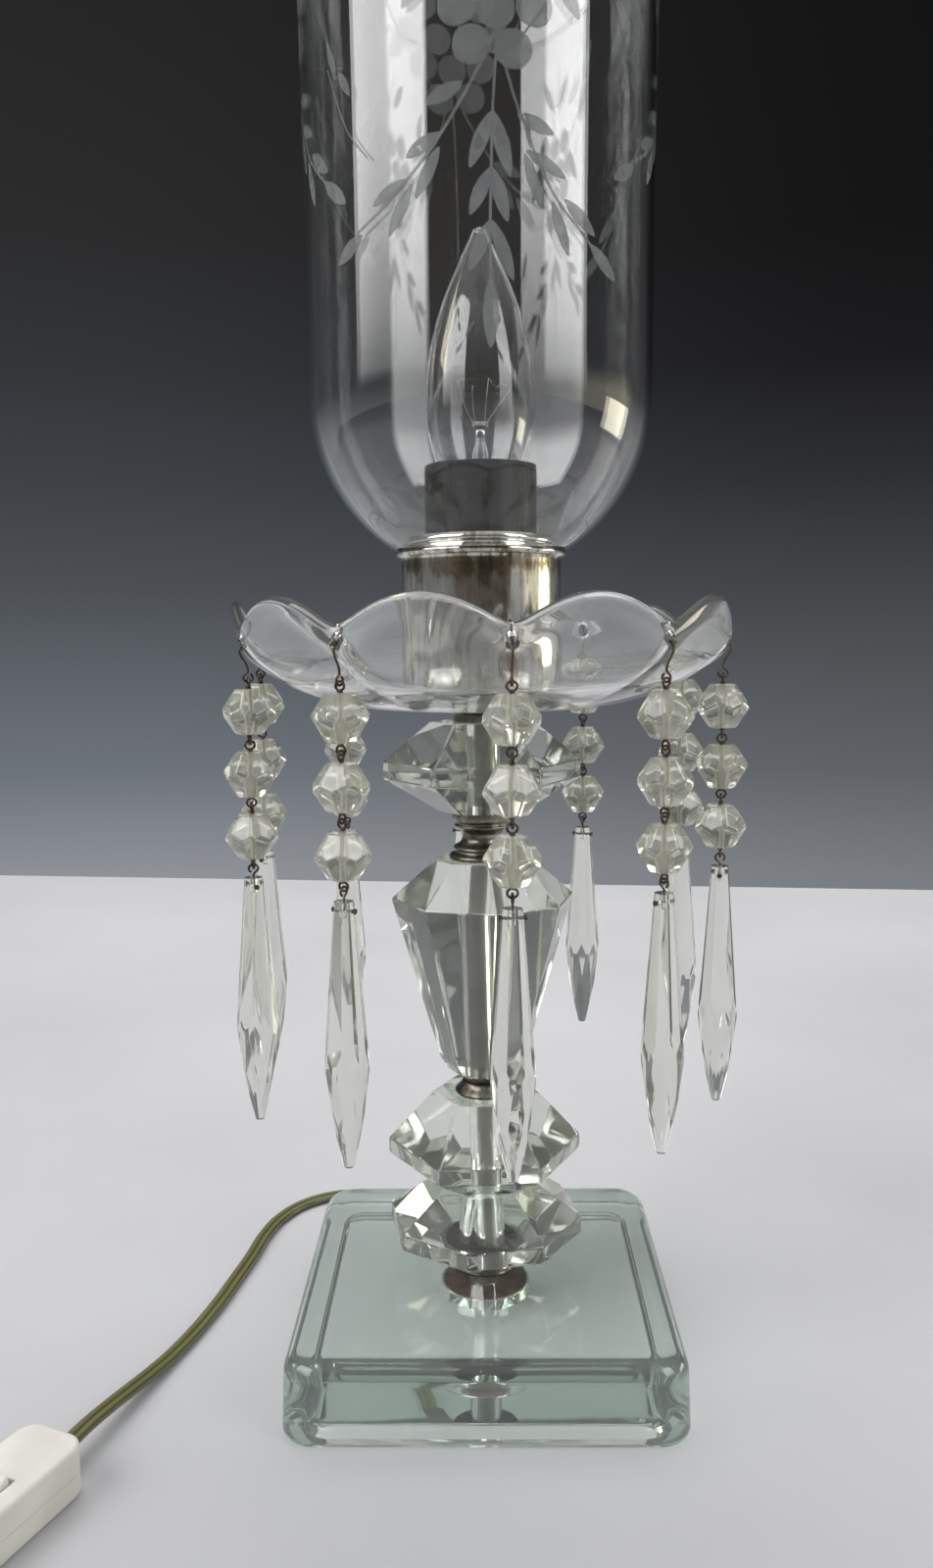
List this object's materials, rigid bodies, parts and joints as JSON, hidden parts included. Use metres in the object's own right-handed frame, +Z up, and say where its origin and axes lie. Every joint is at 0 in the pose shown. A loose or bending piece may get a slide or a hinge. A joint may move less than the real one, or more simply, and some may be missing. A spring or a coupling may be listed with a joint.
{
  "type": "crystal table lamp",
  "caption": "Table lamp with a stacked crystal stem, a scalloped glass dish hung with bead strings and prisms, a tall hurricane shade, and a coiled cord.",
  "frame": {"origin": "centre of the square base's underside, on the table", "axes": "+Z up along the stem, -Y towards the front, +X to the right of a viewer in front"},
  "size_m": [0.3197, 0.2937, 0.502],
  "materials": {
    "base_glass": "pressed clear glass, greenish at the edges",
    "cut_glass": "polished cut crystal",
    "dish_glass": "pressed clear glass",
    "bead_glass": "polished cut crystal on tarnished wire",
    "shade_glass": "blown clear glass with wheel-cut pattern",
    "bulb_clear_glass": "thin blown glass",
    "holder_chrome": "worn chrome with tarnish",
    "aged_nickel": "aged nickel plate",
    "aged_brass": "aged brass",
    "brass": "plain brass",
    "brass_cap": "rolled screw cap",
    "rusty_steel": "rusty",
    "pipe_steel": "zinc plated",
    "zinc_steel": "zinc plated",
    "socket_phenolic": "moulded phenolic",
    "sleeve_charcoal": "satin charcoal",
    "solder": "solder",
    "filament_wire": "drawn wire",
    "switch_white": "moulded, slightly aged",
    "clear_cord": "clear gold insulation over copper",
    "tie_black": "plain band",
    "plug_gold": "moulded"
  },
  "bodies": {
    "lamp": {"base_block": "base_glass", "base_washer": "rusty_steel", "pipe_nuts": "brass", "stem_pipe": "pipe_steel", "foot_ring": "aged_nickel", "lower_crystal": "cut_glass", "middle_crystal": "cut_glass", "lower_spacer": "aged_nickel", "vase_crystal": "cut_glass", "upper_spacer": "aged_nickel", "upper_crystal": "cut_glass", "seat_ring": "aged_brass", "bobeche": "dish_glass", "holder_cup": "holder_chrome", "holder_ring": "holder_chrome", "socket_bracket": "zinc_steel", "socket_body": "socket_phenolic", "socket_shell": "brass", "socket_contact": "brass", "socket_sleeve": "sleeve_charcoal", "inner_cord": "clear_cord", "switch_bottom": "switch_white", "switch_top": "switch_white", "switch_contacts": "brass", "switch_screws": "zinc_steel", "cord_lead": "clear_cord", "cord_tail": "clear_cord", "cord_coil": "clear_cord", "cord_end": "clear_cord", "coil_tie": "tie_black", "plug_body": "plug_gold", "plug_blades": "brass"},
    "shade": {"shade": "shade_glass"},
    "bulb_tip": {"bulb_contact": "solder"},
    "bulb": {"bulb_cap": "brass_cap", "bulb_glass": "bulb_clear_glass", "bulb_stem": "bulb_clear_glass", "bulb_filament": "filament_wire"},
    "rocker": {"switch_rocker": "switch_white"},
    "string_1": {"bead_string_1": "bead_glass"},
    "drop_1": {"prism_1": "bead_glass"},
    "string_2": {"bead_string_2": "bead_glass"},
    "drop_2": {"prism_2": "bead_glass"},
    "string_3": {"bead_string_3": "bead_glass"},
    "drop_3": {"prism_3": "bead_glass"},
    "string_4": {"bead_string_4": "bead_glass"},
    "drop_4": {"prism_4": "bead_glass"},
    "string_5": {"bead_string_5": "bead_glass"},
    "drop_5": {"prism_5": "bead_glass"},
    "string_6": {"bead_string_6": "bead_glass"},
    "drop_6": {"prism_6": "bead_glass"},
    "string_7": {"bead_string_7": "bead_glass"},
    "drop_7": {"prism_7": "bead_glass"},
    "string_8": {"bead_string_8": "bead_glass"},
    "drop_8": {"prism_8": "bead_glass"},
    "string_9": {"bead_string_9": "bead_glass"},
    "drop_9": {"prism_9": "bead_glass"},
    "string_10": {"bead_string_10": "bead_glass"},
    "drop_10": {"prism_10": "bead_glass"}
  },
  "joints": [
    {"name": "shade_lift", "type": "slide", "parent": "lamp", "child": "shade", "axis": [0, 0, 1], "range_m": [0, 0.15]},
    {"name": "bulb_rise", "type": "slide", "parent": "lamp", "child": "bulb_tip", "axis": [0, 0, 1], "range_m": [0, 0.0127]},
    {"name": "bulb_turn", "type": "hinge", "parent": "bulb_tip", "child": "bulb", "pos_m": [0, 0, 0.2659], "axis": [0, 0, 1], "range_deg": [0, 1800]},
    {"name": "rocker_tilt", "type": "hinge", "parent": "lamp", "child": "rocker", "pos_m": [-0.13701, -0.10281, 0.0126], "axis": [-0.9164, 0.4003, 0], "range_deg": [0, 24]},
    {"name": "string_swing_1", "type": "hinge", "parent": "lamp", "child": "string_1", "pos_m": [0.00802, -0.07759, 0.2422], "axis": [-0.9947, -0.1028, 0], "range_deg": [-10, 30]},
    {"name": "prism_swing_1", "type": "hinge", "parent": "string_1", "child": "drop_1", "pos_m": [0.00802, -0.07759, 0.1723], "axis": [-0.9947, -0.1028, 0], "range_deg": [-15, 30]},
    {"name": "string_swing_2", "type": "hinge", "parent": "lamp", "child": "string_2", "pos_m": [0.05209, -0.05806, 0.2422], "axis": [-0.7443, -0.6678, 0], "range_deg": [-10, 30]},
    {"name": "prism_swing_2", "type": "hinge", "parent": "string_2", "child": "drop_2", "pos_m": [0.05209, -0.05806, 0.1723], "axis": [-0.7443, -0.6678, 0], "range_deg": [-15, 30]},
    {"name": "string_swing_3", "type": "hinge", "parent": "lamp", "child": "string_3", "pos_m": [0.07627, -0.01635, 0.2422], "axis": [-0.2096, -0.9778, 0], "range_deg": [-10, 30]},
    {"name": "prism_swing_3", "type": "hinge", "parent": "string_3", "child": "drop_3", "pos_m": [0.07627, -0.01635, 0.1723], "axis": [-0.2096, -0.9778, 0], "range_deg": [-15, 30]},
    {"name": "string_swing_4", "type": "hinge", "parent": "lamp", "child": "string_4", "pos_m": [0.07131, 0.0316, 0.2422], "axis": [0.4051, -0.9143, 0], "range_deg": [-10, 30]},
    {"name": "prism_swing_4", "type": "hinge", "parent": "string_4", "child": "drop_4", "pos_m": [0.07131, 0.0316, 0.1723], "axis": [0.4051, -0.9143, 0], "range_deg": [-15, 30]},
    {"name": "string_swing_5", "type": "hinge", "parent": "lamp", "child": "string_5", "pos_m": [0.03912, 0.06748, 0.2422], "axis": [0.8652, -0.5015, 0], "range_deg": [-10, 30]},
    {"name": "prism_swing_5", "type": "hinge", "parent": "string_5", "child": "drop_5", "pos_m": [0.03912, 0.06748, 0.1723], "axis": [0.8652, -0.5015, 0], "range_deg": [-15, 30]},
    {"name": "string_swing_6", "type": "hinge", "parent": "lamp", "child": "string_6", "pos_m": [-0.00802, 0.07759, 0.2422], "axis": [0.9947, 0.1028, 0], "range_deg": [-10, 30]},
    {"name": "prism_swing_6", "type": "hinge", "parent": "string_6", "child": "drop_6", "pos_m": [-0.00802, 0.07759, 0.1723], "axis": [0.9947, 0.1028, 0], "range_deg": [-15, 30]},
    {"name": "string_swing_7", "type": "hinge", "parent": "lamp", "child": "string_7", "pos_m": [-0.05209, 0.05806, 0.2422], "axis": [0.7443, 0.6678, 0], "range_deg": [-10, 30]},
    {"name": "prism_swing_7", "type": "hinge", "parent": "string_7", "child": "drop_7", "pos_m": [-0.05209, 0.05806, 0.1723], "axis": [0.7443, 0.6678, 0], "range_deg": [-15, 30]},
    {"name": "string_swing_8", "type": "hinge", "parent": "lamp", "child": "string_8", "pos_m": [-0.07627, 0.01635, 0.2422], "axis": [0.2096, 0.9778, 0], "range_deg": [-10, 30]},
    {"name": "prism_swing_8", "type": "hinge", "parent": "string_8", "child": "drop_8", "pos_m": [-0.07627, 0.01635, 0.1723], "axis": [0.2096, 0.9778, 0], "range_deg": [-15, 30]},
    {"name": "string_swing_9", "type": "hinge", "parent": "lamp", "child": "string_9", "pos_m": [-0.07131, -0.0316, 0.2422], "axis": [-0.4051, 0.9143, 0], "range_deg": [-10, 30]},
    {"name": "prism_swing_9", "type": "hinge", "parent": "string_9", "child": "drop_9", "pos_m": [-0.07131, -0.0316, 0.1723], "axis": [-0.4051, 0.9143, 0], "range_deg": [-15, 30]},
    {"name": "string_swing_10", "type": "hinge", "parent": "lamp", "child": "string_10", "pos_m": [-0.03912, -0.06748, 0.2422], "axis": [-0.8652, 0.5015, 0], "range_deg": [-10, 30]},
    {"name": "prism_swing_10", "type": "hinge", "parent": "string_10", "child": "drop_10", "pos_m": [-0.03912, -0.06748, 0.1723], "axis": [-0.8652, 0.5015, 0], "range_deg": [-15, 30]}
  ],
  "couplings": [
    {"joint": "bulb_rise", "follows": "bulb_turn", "m_per_rad": 0.00040425}
  ]
}
